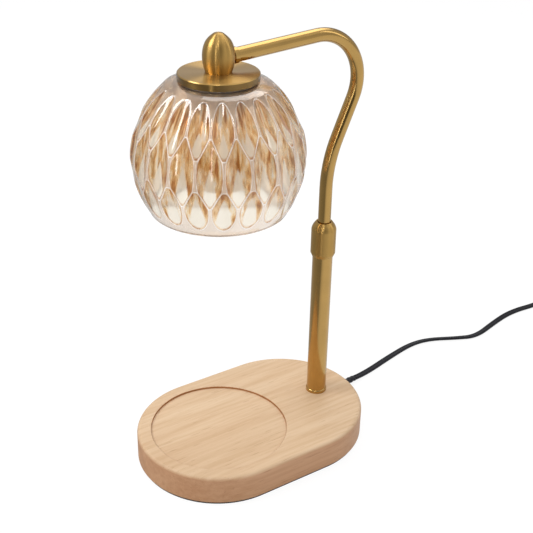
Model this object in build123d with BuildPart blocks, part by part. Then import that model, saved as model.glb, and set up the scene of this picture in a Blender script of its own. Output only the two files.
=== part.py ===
from build123d import *
import os
from math import asin, atan, cos, degrees, pi, radians, sin, sqrt, tan

# Candle warmer lamp: a wooden base with a round recess for the candle, a column with a twist-lock
# collar, a bent arm that slides and swivels in it, and a pressed glass shade over a GU10 bulb.
# Millimetres. Origin at the centre of the underside, +X to the column, +Y to the back, +Z up.

# ---------- driving dimensions ----------
fit_gap = 0.05  # running fit on a radius, or an assembled fit
rest_gap = 0.15  # end play between pieces that turn against each other

base_length = 192.0
base_width = 130.0
base_height = 25.4  # pad included
base_top_round = 3.0
base_bottom_round = 0.8
pad_thickness = 2.0
pad_inset = 1.5
recess_diameter = 108.0
recess_depth = 2.0
recess_round = 0.5
weight_diameter = 100.0
weight_thickness = 6.0
weight_gap = 0.4
weight_screw_circle_diameter = 74.0
weight_screw_count = 3
weight_screw_radius = 2.0
weight_screw_head = 4.0
weight_screw_length = 13.0

column_inset = 31.0  # from the end of the base to the column's axis
column_diameter = 16.0
column_wall = 1.2
column_end_in_collar = 11.2  # how far the tube's end reaches up inside the collar
foot_diameter = 17.2
foot_height = 3.0
foot_round = 1.0
foot_spigot = 12.0
nipple_diameter = 10.0
nipple_bore = 7.0
nut_flats = 14.0
nut_thickness = 4.0
washer_diameter = 22.0
washer_thickness = 1.5
counterbore_diameter = 26.0
counterbore_depth = 14.0
nipple_past_nut = 1.0

collar_diameter = 19.5
collar_bottom = 152.8
collar_height = 29.2
collar_lower_chamfer = 2.8
collar_mouth_diameter = 17.0  # at the lower edge
collar_cone_height = 6.4
collar_rim_diameter = 13.6
collar_top_bore = 11.0
collar_cone_swell = 0.45  # how far the cone bulges past its middle
collar_rim_round = 0.6
collet_below_rim = 1.8
collet_spigot = 8.0
collet_slits = 4
collet_slit_width = 1.0
collet_slit_depth = 12.0
collet_diameter = 15.6
collet_tip_diameter = 13.0
collet_cone_height = 6.0

arm_diameter = 10.0
arm_wall = 1.0
arm_end_height = 71.0  # lower end of the arm, at the resting height
arm_bend_above_collar = 28.0
arm_lower_radius = 99.0
arm_lean = 23.4  # degrees, the middle run's lean away from the head
arm_upper_radius = 36.5
arm_droop = 3.3  # degrees, the top run's fall towards the head
arm_socket = 8.0
guide_length = 20.0
bead_height = 1.6
bead_diameter = 11.8
plug_flange = 2.0
plug_flange_diameter = 12.4
plug_spigot = 8.0
plug_bore = 5.2
ferrule_diameter = 11.4
ferrule_length = 2.6

head_reach = 95.0  # column axis to head axis
disc_diameter = 56.0
disc_thickness = 5.0
disc_top = 316.2
disc_chamfer = 0.6
egg_radius = 11.05
egg_waist = 10.8  # widest section above the disc
egg_upper = 15.5
egg_lower = 18.4
arm_joint_drop = 2.3  # arm axis below the egg's widest section, at the head axis

gasket_thickness = 0.8
glass_height = 93.1  # rim to crown
glass_widest = 61.3
glass_widest_drop = 54.1  # widest section below the crown
glass_half_height = 66.5
glass_power = 1.88
glass_shoulder_drop = 2.7  # where the barrel turns in to the neck, below the crown
glass_wall = 6.0
glass_crown_wall = 4.0
glass_neck_radius = 27.0
glass_neck_run = 4.5  # the crown's rounded edge, outward
glass_neck_fall = 0.75
facet_count = 20
facet_turn = -136.2  # degrees, the first facet of the upper and lower rows
facet_width = 0.95  # share of the space that each facet has round the barrel
upper_facet_drop = 17.8  # middle of a facet below the crown
upper_facet_half = 20.3  # half its length along the barrel
upper_facet_depth = 2.3
middle_facet_drop = 44.4
middle_facet_half = 24.5
middle_facet_depth = 2.7
lower_facet_drop = 71.8
lower_facet_half = 17.2
lower_facet_depth = 1.8
glass_hole = 41.0
glass_lip = 1.8
cup_diameter = 39.0
cup_wall = 1.2
cup_top = 1.5
cup_height = 21.0
ring_diameter = 52.0
ring_thickness = 3.0
ring_notches = 12
ring_notch_radius = 1.2
bracket_width = 13.0
bracket_sheet = 1.0
bracket_leg = 8.4  # inner face of each leg from the axis
bracket_foot = 6.0
holder_diameter = 30.0
holder_height = 15.0
holder_screw_radius = 1.5
holder_screw_head = 2.3
holder_screw_length = 8.0
pin_spacing = 10.0
pin_diameter = 3.0
pin_head_diameter = 4.8
pin_head = 2.2
pin_length = 6.5
bulb_base_diameter = 24.0
bulb_base_height = 7.0
bulb_diameter = 50.0
bulb_length = 48.0  # base face to rim
bulb_wall = 1.5
lens_thickness = 2.5
head_nut_thickness = 3.0
head_nipple_past_nut = 0.6
holder_below_nut = 1.2

exit_angle = 11.5  # degrees round the end of the base, from +X
groove_width = 8.0
groove_depth = 6.0
gland_inner_length = 10.0
gland_flange_width = 10.0
gland_flange_height = 8.0
gland_flange = 1.2
gland_nose = 10.0
gland_wall = 0.8
cord_diameter = 4.6

dimmer_length = 62.0
dimmer_width = 26.0
dimmer_lower_height = 8.0
dimmer_upper_height = 9.0
dimmer_cord_height = 4.0
dimmer_heading = -35.0
dimmer_round = 2.5
wheel_diameter = 24.0
wheel_thickness = 5.0
wheel_proud = 3.0
wheel_gap = 0.4
wheel_shaft = 2.0
wheel_notches = 18
wheel_notch_radius = 0.8
dimmer_screw_radius = 1.4
dimmer_screw_head = 2.4

coil_radius = 31.0  # middle of the turns
coil_width = 12.0
coil_height = 12.0
coil_round = 3.0
cord_to_coil = 38.0  # dimmer to the turns' middle line
cord_bite_depth = 1.0  # how far a cord runs into the bundle of turns
coil_to_plug = 26.0
plug_length = 32.0
plug_width = 24.0
plug_height = 12.0
plug_neck_length = 10.0
plug_neck_width = 8.0
plug_neck_height = 6.0
plug_round = 2.0
blade_spacing = 12.7
blade_width = 6.3
blade_thickness = 1.5
blade_length = 16.0

# ---------- places worked out from them ----------
end_radius = base_width / 2
end_center_x = base_length / 2 - end_radius
candle_x = -end_center_x
column_x = base_length / 2 - column_inset
head_x = column_x - head_reach
column_inner = column_diameter / 2 - column_wall
foot_top = base_height + foot_height
collar_top = collar_bottom + collar_height
column_top = collar_bottom + column_end_in_collar
counterbore_top = pad_thickness + counterbore_depth
nut_top = counterbore_top - washer_thickness
nipple_bottom = nut_top - nut_thickness - nipple_past_nut
disc_bottom = disc_top - disc_thickness
glass_top = disc_bottom - gasket_thickness
glass_bottom = glass_top - glass_height
glass_widest_z = glass_top - glass_widest_drop
glass_shoulder = glass_top - glass_shoulder_drop
cup_inner_top = disc_bottom - cup_top
bracket_bottom = cup_inner_top - bracket_sheet
holder_top = bracket_bottom - head_nut_thickness - holder_below_nut
holder_bottom = holder_top - holder_height
bulb_bottom = holder_bottom - bulb_length
column_profile = Plane(origin=(column_x, 0, 0), x_dir=(1, 0, 0), z_dir=(0, -1, 0))
head_profile = Plane(origin=(head_x, 0, 0), x_dir=(-1, 0, 0), z_dir=(0, 1, 0))
arm_profile = Plane(origin=(0, 0, 0), x_dir=(1, 0, 0), z_dir=(0, -1, 0))

os.makedirs("parts", exist_ok=True)


def above(plane, height):
    """The same plane, raised along the row's Z."""
    return Plane(origin=plane.origin + Vector(0, 0, height), x_dir=plane.x_dir, z_dir=plane.z_dir)


def heading_plane(x, y, z, angle):
    """A section plane that faces along a level heading, its x axis level and its y axis up."""
    return Plane(
        origin=(x, y, z),
        x_dir=(sin(radians(angle)), -cos(radians(angle)), 0),
        z_dir=(cos(radians(angle)), sin(radians(angle)), 0),
    )


def superellipse(radius, half_height, height):
    """Radius of the shade's barrel at a height above its widest section."""
    return radius * (1 - abs(height / half_height) ** glass_power) ** (1 / glass_power)


# ---------- base ----------
exit_x = end_center_x + end_radius * cos(radians(exit_angle))
exit_y = end_radius * sin(radians(exit_angle))
exit_z = pad_thickness + groove_depth / 2
exit_face = heading_plane(exit_x, exit_y, exit_z, exit_angle)
counterbore_edge = end_radius - (column_x - end_center_x) * cos(radians(exit_angle))

with BuildPart() as wood_base:
    with BuildSketch(Plane.XY.offset(pad_thickness)):
        SlotOverall(base_length, base_width)
    extrude(amount=base_height - pad_thickness)
    fillet(wood_base.edges().group_by(Axis.Z)[-1], base_top_round)
    fillet(wood_base.edges().group_by(Axis.Z)[0], base_bottom_round)
    with BuildSketch(Plane.XY.offset(base_height - recess_depth)):
        with Locations((candle_x, 0)):
            Circle(recess_diameter / 2)
    extrude(amount=recess_depth, mode=Mode.SUBTRACT)
    rim = wood_base.edges().filter_by(GeomType.CIRCLE).filter_by(
        lambda e: abs(e.radius - recess_diameter / 2) < 0.01
    )
    fillet(rim.sort_by(Axis.Z)[-1], recess_round)
    with BuildSketch(Plane.XY.offset(pad_thickness)):
        with Locations((candle_x, 0)):
            Circle(weight_diameter / 2 + weight_gap)
    extrude(amount=weight_thickness + weight_gap, mode=Mode.SUBTRACT)
    with BuildSketch(Plane.XY.offset(pad_thickness + weight_thickness + weight_gap)):
        with Locations((candle_x, 0)):
            with PolarLocations(weight_screw_circle_diameter / 2, weight_screw_count):
                Circle(weight_screw_radius + fit_gap)
    extrude(amount=weight_screw_length - weight_thickness, mode=Mode.SUBTRACT)
    with BuildSketch(Plane.XY.offset(pad_thickness)):
        with Locations((column_x, 0)):
            Circle(counterbore_diameter / 2)
    extrude(amount=counterbore_depth, mode=Mode.SUBTRACT)
    with BuildSketch(Plane.XY.offset(counterbore_top)):
        with Locations((column_x, 0)):
            Circle(nipple_diameter / 2 + weight_gap)
    extrude(amount=base_height - counterbore_top, mode=Mode.SUBTRACT)
    with BuildSketch(exit_face):
        Rectangle(groove_width, groove_depth)
    extrude(amount=-counterbore_edge, mode=Mode.SUBTRACT)
    with BuildSketch(exit_face):
        Rectangle(groove_width, groove_depth)
    extrude(amount=groove_width, mode=Mode.SUBTRACT)
wood_base.part.label = "wood_base"

with BuildPart() as base_pad:
    with BuildSketch():
        SlotOverall(base_length - 2 * pad_inset, base_width - 2 * pad_inset)
    extrude(amount=pad_thickness)
base_pad.part.label = "base_pad"

weight_top = pad_thickness + weight_thickness + weight_gap
with BuildPart() as counterweight:
    with BuildSketch(Plane.XY.offset(weight_top - weight_thickness)):
        with Locations((candle_x, 0)):
            Circle(weight_diameter / 2)
    extrude(amount=weight_thickness)
    chamfer(counterweight.edges(), base_bottom_round)
    with Locations(Plane((candle_x, 0, weight_top - weight_thickness), (1, 0, 0), (0, 0, -1))):
        with PolarLocations(weight_screw_circle_diameter / 2, weight_screw_count):
            CounterSinkHole(weight_screw_radius + fit_gap, weight_screw_head + fit_gap)
counterweight.part.label = "counterweight"

with BuildPart() as weight_screws:
    with BuildSketch(Plane.XY.offset(weight_top - weight_thickness)) as weight_screw_heads:
        with Locations((candle_x, 0)):
            with PolarLocations(weight_screw_circle_diameter / 2, weight_screw_count):
                Circle(weight_screw_radius)
    extrude(amount=weight_screw_length - fit_gap)
    for screw_end in weight_screws.faces().filter_by(Axis.Z).group_by(Axis.Z)[0]:
        with Locations(Plane(origin=screw_end.center(), z_dir=(0, 0, 1))):
            Cone(
                weight_screw_head,
                weight_screw_radius,
                weight_screw_head - weight_screw_radius,
                align=(Align.CENTER, Align.CENTER, Align.MIN),
            )
weight_screws.part.label = "weight_screws"

# ---------- column ----------
with BuildPart() as column_foot:
    with BuildSketch(Plane.XY.offset(base_height)):
        with Locations((column_x, 0)):
            Circle(foot_diameter / 2)
    extrude(amount=foot_height)
    fillet(column_foot.edges().group_by(Axis.Z)[-1], foot_round * (foot_diameter - column_diameter))
    with BuildSketch(Plane.XY.offset(foot_top)):
        with Locations((column_x, 0)):
            Circle(column_inner - fit_gap)
    extrude(amount=foot_spigot)
    with BuildSketch(Plane.XY.offset(base_height)):
        with Locations((column_x, 0)):
            Circle(nipple_diameter / 2 + fit_gap)
    extrude(amount=foot_height + foot_spigot, mode=Mode.SUBTRACT)
column_foot.part.label = "column_foot"

with BuildPart() as column_tube:
    with BuildSketch(Plane.XY.offset(foot_top)):
        with Locations((column_x, 0)):
            Circle(column_diameter / 2)
            Circle(column_inner, mode=Mode.SUBTRACT)
    extrude(amount=column_top - foot_top)
column_tube.part.label = "column_tube"

nipple_top = foot_top + foot_spigot - nipple_past_nut
with BuildPart() as column_nipple:
    with BuildSketch(Plane.XY.offset(nipple_bottom)):
        with Locations((column_x, 0)):
            Circle(nipple_diameter / 2)
            Circle(nipple_bore / 2, mode=Mode.SUBTRACT)
    extrude(amount=nipple_top - nipple_bottom)
column_nipple.part.label = "column_nipple"

with BuildPart() as column_washer:
    with BuildSketch(Plane.XY.offset(nut_top)):
        with Locations((column_x, 0)):
            Circle(washer_diameter / 2)
            Circle(nipple_diameter / 2 + weight_gap, mode=Mode.SUBTRACT)
    extrude(amount=washer_thickness)
column_washer.part.label = "column_washer"

with BuildPart() as column_nut:
    with BuildSketch(Plane.XY.offset(nut_top - nut_thickness)):
        with Locations((column_x, 0)):
            RegularPolygon(nut_flats / 2, 6, major_radius=False)
            Circle(nipple_diameter / 2 + fit_gap, mode=Mode.SUBTRACT)
    extrude(amount=nut_thickness)
column_nut.part.label = "column_nut"

# ---------- twist lock ----------
collet_top = collar_top - collet_below_rim
collet_shoulder = collet_top - collet_cone_height
with BuildPart() as collet:
    with BuildSketch(column_profile):
        with BuildLine():
            Polyline(
                (arm_diameter / 2 + fit_gap, column_top - collet_spigot),
                (column_inner - fit_gap, column_top - collet_spigot),
                (column_inner - fit_gap, column_top),
                (collet_diameter / 2, column_top),
                (collet_diameter / 2, collet_shoulder),
                (collet_tip_diameter / 2, collet_top),
                (arm_diameter / 2 + fit_gap, collet_top),
                close=True,
            )
        make_face()
    revolve(axis=Axis((column_x, 0, 0), (0, 0, 1)))
    with BuildSketch(Plane.XY.offset(collet_top - collet_slit_depth)):
        with Locations((column_x, 0)):
            with PolarLocations(0, collet_slits // 2, angular_range=180):
                Rectangle(collet_diameter + 1, collet_slit_width)
    extrude(amount=collet_slit_depth, mode=Mode.SUBTRACT)
collet.part.label = "collet"

collar_bore = column_diameter / 2 + fit_gap
with BuildPart() as collar_nut:
    with BuildSketch(column_profile):
        with BuildLine():
            Polyline(
                (collar_rim_diameter / 2 - collar_rim_round, collar_top),
                (collar_top_bore / 2, collar_top),
                (collar_top_bore / 2, collet_top + rest_gap),
                (collet_tip_diameter / 2 + 2 * rest_gap, collet_top + rest_gap),
                (collar_bore, collet_shoulder + rest_gap),
                (collar_bore, collar_bottom),
                (collar_mouth_diameter / 2, collar_bottom),
                (collar_diameter / 2, collar_bottom + collar_lower_chamfer),
                (collar_diameter / 2, collar_top - collar_cone_height),
            )
            Spline(
                (collar_diameter / 2, collar_top - collar_cone_height),
                (collar_diameter / 2 - collar_cone_swell, collar_top - 0.72 * collar_cone_height),
                (collar_rim_diameter / 2, collar_top - collar_rim_round),
            )
            RadiusArc(
                (collar_rim_diameter / 2, collar_top - collar_rim_round),
                (collar_rim_diameter / 2 - collar_rim_round, collar_top),
                -collar_rim_round,
            )
        make_face()
    revolve(axis=Axis((column_x, 0, 0), (0, 0, 1)))
collar_nut.part.label = "collar_nut"

# ---------- arm ----------
arm_joint_z = disc_top + egg_waist - arm_joint_drop
bend_start = collar_top + arm_bend_above_collar
lower_corner = Vector(column_x, bend_start + arm_lower_radius * tan(radians(arm_lean / 2)))
# the leaning run and the drooping top run meet in the upper corner
lean_slope, droop_slope = tan(radians(arm_lean)), tan(radians(arm_droop))
corner_x = (
    column_x + lean_slope * (arm_joint_z - droop_slope * head_x - lower_corner.Y)
) / (1 - lean_slope * droop_slope)
upper_corner = Vector(corner_x, arm_joint_z + droop_slope * (corner_x - head_x))
arm_end_x = head_x + egg_radius - arm_socket
arm_end = Vector(arm_end_x, arm_joint_z + droop_slope * (arm_end_x - head_x))
guide_bottom = arm_end_height + rest_gap
bead_bottom = guide_bottom + guide_length + rest_gap

with BuildPart() as arm_tube:
    with BuildLine(arm_profile) as arm_path:
        FilletPolyline(
            (column_x, arm_end_height),
            (lower_corner.X, lower_corner.Y),
            (upper_corner.X, upper_corner.Y),
            (arm_end.X, arm_end.Y),
            radius=[arm_lower_radius, arm_upper_radius],
        )
    with BuildSketch(Plane.XY.offset(arm_end_height)):
        with Locations((column_x, 0)):
            Circle(arm_diameter / 2)
            Circle(arm_diameter / 2 - arm_wall, mode=Mode.SUBTRACT)
    sweep(path=arm_path.line)
    with BuildSketch(Plane.XY.offset(bead_bottom)):
        with Locations((column_x, 0)):
            Circle(bead_diameter / 2)
            Circle(arm_diameter / 2 - arm_wall / 2, mode=Mode.SUBTRACT)
    extrude(amount=bead_height)
    bead_edges = arm_tube.edges().filter_by(GeomType.CIRCLE).filter_by(
        lambda e: abs(e.radius - bead_diameter / 2) < 0.01
    )
    fillet(bead_edges, bead_height * 0.3)
arm_tube.part.label = "arm_tube"

with BuildPart() as arm_guide:
    with BuildSketch(Plane.XY.offset(guide_bottom)):
        with Locations((column_x, 0)):
            Circle(column_inner - fit_gap)
            Circle(arm_diameter / 2 + fit_gap, mode=Mode.SUBTRACT)
    extrude(amount=guide_length)
arm_guide.part.label = "arm_guide"

with BuildPart() as arm_end_plug:
    with BuildSketch(Plane.XY.offset(arm_end_height - plug_flange)):
        with Locations((column_x, 0)):
            Circle(plug_flange_diameter / 2)
    extrude(amount=plug_flange)
    with BuildSketch(Plane.XY.offset(arm_end_height)):
        with Locations((column_x, 0)):
            Circle(arm_diameter / 2 - arm_wall - fit_gap)
    extrude(amount=plug_spigot)
    with BuildSketch(Plane.XY.offset(arm_end_height - plug_flange)):
        with Locations((column_x, 0)):
            Circle(plug_bore / 2)
    extrude(amount=plug_flange + plug_spigot, mode=Mode.SUBTRACT)
    fillet(arm_end_plug.edges().group_by(Axis.Z)[0].sort_by(SortBy.LENGTH)[-1], plug_flange / 4)
arm_end_plug.part.label = "arm_end_plug"

# ---------- head ----------
arm_back = Plane(
    origin=(arm_end.X, 0, arm_end.Y),
    x_dir=(0, 1, 0),
    z_dir=(cos(radians(arm_droop)), 0, sin(radians(arm_droop))),
)
egg_wide_z = disc_top + egg_waist
head_nipple_top = arm_joint_z - arm_diameter / 2 - rest_gap


def egg_point(angle):
    """A point of the egg's outline: a taller half ellipse below the widest section than above it."""
    half_height = egg_lower if angle < 0 else egg_upper
    return (egg_radius * cos(angle), egg_wide_z + half_height * sin(angle))


with BuildPart() as egg_joint:
    with BuildSketch(head_profile):
        with BuildLine():
            foot_angle = -asin(egg_waist / egg_lower)
            outline = Spline(
                [egg_point(foot_angle), egg_point(foot_angle / 2)] + [egg_point(pi / 8 * i) for i in range(5)],
                tangents=((-egg_radius * sin(foot_angle), egg_lower * cos(foot_angle)), (-1, 0)),
            )
            Polyline(outline @ 1, (0, disc_top), outline @ 0)
        make_face()
    revolve(axis=Axis((head_x, 0, 0), (0, 0, 1)))
    with BuildSketch(arm_back):
        Circle(arm_diameter / 2 + fit_gap)
    extrude(amount=egg_radius * 2, mode=Mode.SUBTRACT)
    with BuildSketch(arm_back):
        Circle(arm_diameter / 2 - 2 * arm_wall)
    extrude(amount=-egg_radius / 2, mode=Mode.SUBTRACT)
    with BuildSketch(Plane.XY.offset(disc_top)):
        with Locations((head_x, 0)):
            Circle(nipple_diameter / 2 + fit_gap)
    extrude(amount=head_nipple_top - disc_top, mode=Mode.SUBTRACT)
    with BuildSketch(Plane.XY.offset(disc_top)):
        with Locations((head_x, 0)):
            Circle(nipple_bore / 2)
    extrude(amount=arm_joint_z - disc_top, mode=Mode.SUBTRACT)
egg_joint.part.label = "egg_joint"

ferrule_start = egg_radius - (arm_end.X - head_x)
with BuildPart() as arm_ferrule:
    with BuildSketch(arm_back.offset(ferrule_start - ferrule_length / 4)):
        Circle(ferrule_diameter / 2)
        Circle(arm_diameter / 2 + fit_gap, mode=Mode.SUBTRACT)
    extrude(amount=ferrule_length * 1.25)
    fillet(
        arm_ferrule.edges().filter_by(GeomType.CIRCLE).sort_by(Axis.X)[-2:].sort_by(SortBy.LENGTH)[-1],
        0.3,
    )
    add(egg_joint.part, mode=Mode.SUBTRACT)
arm_ferrule.part.label = "arm_ferrule"

with BuildPart() as cap_disc:
    with BuildSketch(Plane.XY.offset(disc_bottom)):
        with Locations((head_x, 0)):
            Circle(disc_diameter / 2)
            Circle(nipple_diameter / 2 + fit_gap, mode=Mode.SUBTRACT)
    extrude(amount=disc_thickness)
    outer = cap_disc.edges().filter_by(GeomType.CIRCLE).filter_by(
        lambda e: abs(e.radius - disc_diameter / 2) < 0.01
    )
    chamfer(outer.sort_by(Axis.Z)[-1], disc_chamfer)
    fillet(outer.sort_by(Axis.Z)[0], disc_chamfer / 2)
cap_disc.part.label = "cap_disc"

head_nipple_bottom = bracket_bottom - head_nut_thickness - head_nipple_past_nut
with BuildPart() as head_nipple:
    with BuildSketch(Plane.XY.offset(head_nipple_bottom)):
        with Locations((head_x, 0)):
            Circle(nipple_diameter / 2)
            Circle(nipple_bore / 2, mode=Mode.SUBTRACT)
    extrude(amount=head_nipple_top - head_nipple_bottom)
head_nipple.part.label = "head_nipple"

with BuildPart() as head_nut:
    with BuildSketch(Plane.XY.offset(bracket_bottom - head_nut_thickness)):
        with Locations((head_x, 0)):
            RegularPolygon(nut_flats / 2, 6, major_radius=False)
            Circle(nipple_diameter / 2 + fit_gap, mode=Mode.SUBTRACT)
    extrude(amount=head_nut_thickness)
head_nut.part.label = "head_nut"

with BuildPart() as shade_gasket:
    with BuildSketch(Plane.XY.offset(glass_top)):
        with Locations((head_x, 0)):
            Circle(glass_neck_radius - 1)
            Circle(glass_hole / 2, mode=Mode.SUBTRACT)
    extrude(amount=gasket_thickness)
shade_gasket.part.label = "shade_gasket"

with BuildPart() as socket_cup:
    with BuildSketch(Plane.XY.offset(disc_bottom - cup_height)):
        with Locations((head_x, 0)):
            Circle(cup_diameter / 2)
    extrude(amount=cup_height)
    with BuildSketch(Plane.XY.offset(disc_bottom - cup_height)):
        with Locations((head_x, 0)):
            Circle(cup_diameter / 2 - cup_wall)
    extrude(amount=cup_height - cup_top, mode=Mode.SUBTRACT)
    with BuildSketch(Plane.XY.offset(cup_inner_top)):
        with Locations((head_x, 0)):
            Circle(nipple_diameter / 2 + fit_gap)
    extrude(amount=cup_top, mode=Mode.SUBTRACT)
socket_cup.part.label = "socket_cup"

ring_top = glass_top - glass_crown_wall
with BuildPart() as shade_ring:
    with BuildSketch(Plane.XY.offset(ring_top - ring_thickness)):
        with Locations((head_x, 0)):
            Circle(ring_diameter / 2)
            Circle(cup_diameter / 2 + fit_gap, mode=Mode.SUBTRACT)
    extrude(amount=ring_thickness)
    with BuildSketch(Plane.XY.offset(ring_top - ring_thickness)):
        with Locations((head_x, 0)):
            with PolarLocations(ring_diameter / 2, ring_notches):
                Circle(ring_notch_radius)
    extrude(amount=ring_thickness, mode=Mode.SUBTRACT)
shade_ring.part.label = "shade_ring"

screw_spacing = 2 * bracket_leg + bracket_sheet + bracket_foot
with BuildPart() as holder_bracket:
    with BuildSketch(head_profile.offset(-bracket_width / 2)):
        with BuildLine():
            leg_out = bracket_leg + bracket_sheet
            foot_out = bracket_leg + bracket_foot
            Polyline(
                (-leg_out, cup_inner_top),
                (leg_out, cup_inner_top),
                (leg_out, holder_top + bracket_sheet),
                (foot_out, holder_top + bracket_sheet),
                (foot_out, holder_top),
                (bracket_leg, holder_top),
                (bracket_leg, bracket_bottom),
                (-bracket_leg, bracket_bottom),
                (-bracket_leg, holder_top),
                (-foot_out, holder_top),
                (-foot_out, holder_top + bracket_sheet),
                (-leg_out, holder_top + bracket_sheet),
                close=True,
            )
        make_face()
    extrude(amount=bracket_width)
    with BuildSketch(Plane.XY.offset(bracket_bottom)):
        with Locations((head_x, 0)):
            Circle(nipple_diameter / 2 + fit_gap)
    extrude(amount=bracket_sheet, mode=Mode.SUBTRACT)
    with BuildSketch(Plane.XY.offset(holder_top)):
        with Locations((head_x, 0)):
            with GridLocations(screw_spacing, 0, 2, 1):
                Circle(holder_screw_radius + fit_gap)
    extrude(amount=bracket_sheet, mode=Mode.SUBTRACT)
holder_bracket.part.label = "holder_bracket"

with BuildPart() as lampholder:
    with BuildSketch(Plane.XY.offset(holder_bottom)):
        with Locations((head_x, 0)):
            Circle(holder_diameter / 2)
    extrude(amount=holder_height)
    fillet(lampholder.edges().group_by(Axis.Z)[-1], 1)
    with BuildSketch(Plane.XY.offset(holder_top - holder_screw_length + bracket_sheet)):
        with Locations((head_x, 0)):
            with GridLocations(screw_spacing, 0, 2, 1):
                Circle(holder_screw_radius + fit_gap)
    extrude(amount=holder_screw_length, mode=Mode.SUBTRACT)
    with BuildSketch(Plane.XY.offset(holder_bottom)):
        with Locations((head_x, 0)):
            with GridLocations(0, pin_spacing, 1, 2):
                Circle(pin_head_diameter / 2 + 2 * rest_gap)
    extrude(amount=pin_length + 2 * rest_gap, mode=Mode.SUBTRACT)
lampholder.part.label = "lampholder"

with BuildPart() as holder_screws:
    with BuildSketch(Plane.XY.offset(holder_top - holder_screw_length + bracket_sheet + fit_gap)):
        with Locations((head_x, 0)):
            with GridLocations(screw_spacing, 0, 2, 1):
                Circle(holder_screw_radius)
    extrude(amount=holder_screw_length - fit_gap)
    with BuildSketch(Plane.XY.offset(holder_top + bracket_sheet)):
        with Locations((head_x, 0)):
            with GridLocations(screw_spacing, 0, 2, 1):
                Circle(holder_screw_head)
    extrude(amount=holder_screw_radius)
holder_screws.part.label = "holder_screws"

# ---------- bulb ----------
with BuildPart() as bulb_base:
    with BuildSketch(Plane.XY.offset(holder_bottom - bulb_base_height)):
        with Locations((head_x, 0)):
            Circle(bulb_base_diameter / 2)
    extrude(amount=bulb_base_height)
    fillet(bulb_base.edges().group_by(Axis.Z)[-1], 1)
bulb_base.part.label = "bulb_base"

with BuildPart() as bulb_pins:
    with BuildSketch(Plane.XY.offset(holder_bottom)):
        with Locations((head_x, 0)):
            with GridLocations(0, pin_spacing, 1, 2):
                Circle(pin_diameter / 2)
    extrude(amount=pin_length)
    with BuildSketch(Plane.XY.offset(holder_bottom + pin_length - pin_head)):
        with Locations((head_x, 0)):
            with GridLocations(0, pin_spacing, 1, 2):
                Circle(pin_head_diameter / 2)
    extrude(amount=pin_head)
bulb_pins.part.label = "bulb_pins"

bulb_neck = bulb_base_diameter / 2 - 1
bulb_neck_z = holder_bottom - bulb_base_height
bulb_rim = bulb_diameter / 2
with BuildPart() as bulb_reflector:
    with BuildSketch(head_profile):
        with BuildLine():
            outside = Spline(
                (bulb_neck, bulb_neck_z),
                (bulb_rim * 0.78, bulb_neck_z - 0.38 * (bulb_neck_z - bulb_bottom)),
                (bulb_rim, bulb_bottom + lens_thickness + 1),
            )
            inside = Spline(
                (bulb_neck - bulb_wall, bulb_neck_z),
                (bulb_rim * 0.78 - bulb_wall, bulb_neck_z - 0.38 * (bulb_neck_z - bulb_bottom) - bulb_wall / 2),
                (bulb_rim - bulb_wall, bulb_bottom + lens_thickness + 1),
            )
            Line(outside @ 0, inside @ 0)
            Polyline(
                outside @ 1,
                (bulb_rim, bulb_bottom),
                (bulb_rim - bulb_wall, bulb_bottom),
                inside @ 1,
            )
        make_face()
    revolve(axis=Axis((head_x, 0, 0), (0, 0, 1)))
bulb_reflector.part.label = "bulb_reflector"

with BuildPart() as bulb_lens:
    with BuildSketch(Plane.XY.offset(bulb_bottom + 0.5)):
        with Locations((head_x, 0)):
            Circle(bulb_rim - bulb_wall - fit_gap)
    extrude(amount=lens_thickness)
bulb_lens.part.label = "bulb_lens"

# ---------- glass shade ----------
barrel_steps = 8


def barrel_line(inset, top):
    """Points of the barrel's outline from the rim up, or of its lining an inset inside it."""
    heights = [glass_bottom + (top - glass_bottom) * i / barrel_steps for i in range(barrel_steps + 1)]
    return [
        (superellipse(glass_widest - inset, glass_half_height - inset, h - glass_widest_z), h)
        for h in heights
    ]


def barrel_lean(height):
    """Radians that the barrel's outward normal tips up at a height."""
    share = abs(height - glass_widest_z) / glass_half_height
    slope = glass_widest / glass_half_height * share ** (glass_power - 1)
    slope *= (1 - share**glass_power) ** (1 / glass_power - 1)
    return atan(slope) if height > glass_widest_z else -atan(slope)


def facet_cutter(drop, half_length, depth):
    """A bent bar that cuts one shallow hollow facet into the barrel's +X side."""
    height = glass_top - drop
    radius = superellipse(glass_widest, glass_half_height, height - glass_widest_z)
    lean = barrel_lean(height)
    half_width = facet_width * pi * radius / facet_count
    rise = half_length * cos(lean)
    bend = (barrel_lean(height + rise) - barrel_lean(height - rise)) / (2 * half_length)
    # the bar's own radius hollows the facet across, its bend follows the barrel less the depth
    bar_radius = 1 / (2 * depth / half_width**2 - cos(lean) / radius)
    bend_radius = 1 / (bend - 2 * depth / half_length**2)
    half_sweep = 1.5 * half_length / abs(bend_radius)
    outward = Vector(cos(lean), 0, sin(lean))
    hub = Vector(head_x + radius, 0, height) - outward * (depth + bend_radius)
    spoke = outward.rotate(Axis.Y, -degrees(half_sweep))
    bar_center = hub + spoke * (bend_radius + bar_radius)
    with BuildPart() as cutter:
        with BuildSketch(Plane(origin=bar_center, x_dir=spoke, z_dir=spoke.cross(Vector(0, 1, 0)))):
            Circle(bar_radius)
        revolve(axis=Axis(hub, (0, 1, 0)), revolution_arc=degrees(2 * half_sweep))
    return cutter.part


upper_cutter = facet_cutter(upper_facet_drop, upper_facet_half, upper_facet_depth)
middle_cutter = facet_cutter(middle_facet_drop, middle_facet_half, middle_facet_depth)
lower_cutter = facet_cutter(lower_facet_drop, lower_facet_half, lower_facet_depth)
facet_pitch = 360 / facet_count

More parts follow.
